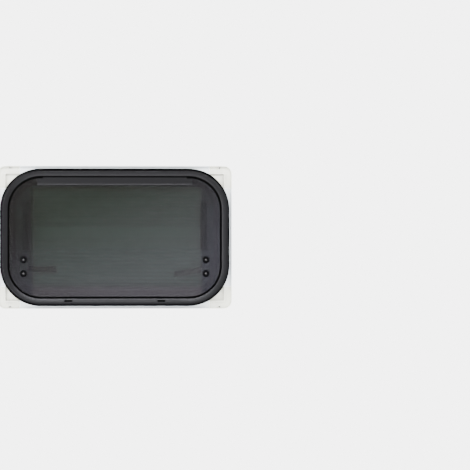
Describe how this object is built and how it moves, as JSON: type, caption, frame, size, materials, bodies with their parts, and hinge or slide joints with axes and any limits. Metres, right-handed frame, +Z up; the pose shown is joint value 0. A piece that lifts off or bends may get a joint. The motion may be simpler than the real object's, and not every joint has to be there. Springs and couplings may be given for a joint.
{
  "type": "caravan window",
  "caption": "top-hung caravan window with a tinted pane in a black rounded frame, pane stays and lever latches, and an inner white frame with a pleated flyscreen and a blackout blind",
  "frame": {"origin": "middle of the window on the back face of the outer flange, which lies on the outer skin of the wall", "axes": "X along the window, +Y into the room, -Y outdoors, Z up"},
  "size_m": [0.77, 0.07, 0.47],
  "materials": {
    "black_coat": "matt powder coat",
    "seal_rubber": "matt",
    "bare_metal": "mill finish",
    "white_coat": "smooth powder coat",
    "warm_moulding": "fine satin",
    "screen_mesh": "open mesh",
    "bar_coat": "satin",
    "blackout_cloth": "pleated",
    "tinted_glass": "tinted, polished",
    "dark_plastic": "fine grain"
  },
  "bodies": {
    "body": {"outer_frame": "black_coat", "hinge_claw": "black_coat", "pane_seal": "seal_rubber", "clamp_ring": "bare_metal", "left_stay_bracket": "bare_metal", "right_stay_bracket": "bare_metal", "left_keeper": "bare_metal", "right_keeper": "bare_metal", "cassette_top_rail": "white_coat", "cassette_bottom_rail": "white_coat", "cassette_left_rail": "white_coat", "cassette_right_rail": "white_coat", "top_left_corner": "warm_moulding", "top_right_corner": "warm_moulding", "bottom_left_corner": "warm_moulding", "bottom_right_corner": "warm_moulding", "flyscreen": "screen_mesh", "flyscreen_bar": "bar_coat", "blind_bar": "bar_coat", "blackout_blind": "blackout_cloth"},
    "sash": {"window_pane": "tinted_glass", "hinge_strip": "black_coat", "left_stay_track": "dark_plastic", "right_stay_track": "dark_plastic", "left_latch_base": "dark_plastic", "right_latch_base": "dark_plastic", "upper_left_cap": "black_coat", "lower_left_cap": "black_coat", "upper_right_cap": "black_coat", "lower_right_cap": "black_coat"},
    "left_arm": {"left_stay_arm": "bare_metal"},
    "right_arm": {"right_stay_arm": "bare_metal"},
    "left_lever": {"left_latch_lever": "dark_plastic"},
    "right_lever": {"right_latch_lever": "dark_plastic"}
  },
  "joints": [
    {"name": "sash_hinge", "type": "hinge", "parent": "body", "child": "sash", "pos_m": [0, -0.0104, 0.197], "axis": [-1, 0, 0], "range_deg": [0, 45]},
    {"name": "left_stay_turn", "type": "hinge", "parent": "body", "child": "left_arm", "pos_m": [-0.308, 0.014, 0.0804], "axis": [-1, 0, 0], "range_deg": [0, 90]},
    {"name": "right_stay_turn", "type": "hinge", "parent": "body", "child": "right_arm", "pos_m": [0.308, 0.014, 0.0804], "axis": [-1, 0, 0], "range_deg": [0, 90]},
    {"name": "left_latch_turn", "type": "hinge", "parent": "sash", "child": "left_lever", "pos_m": [-0.294, 0.01, -0.096], "axis": [0, -1, 0], "range_deg": [0, 90]},
    {"name": "right_latch_turn", "type": "hinge", "parent": "sash", "child": "right_lever", "pos_m": [0.294, 0.01, -0.096], "axis": [0, 1, 0], "range_deg": [0, 102]}
  ],
  "couplings": [
    {"joint": "left_stay_turn", "follows": "sash_hinge", "ratio": 2},
    {"joint": "right_stay_turn", "follows": "sash_hinge", "ratio": 2}
  ]
}
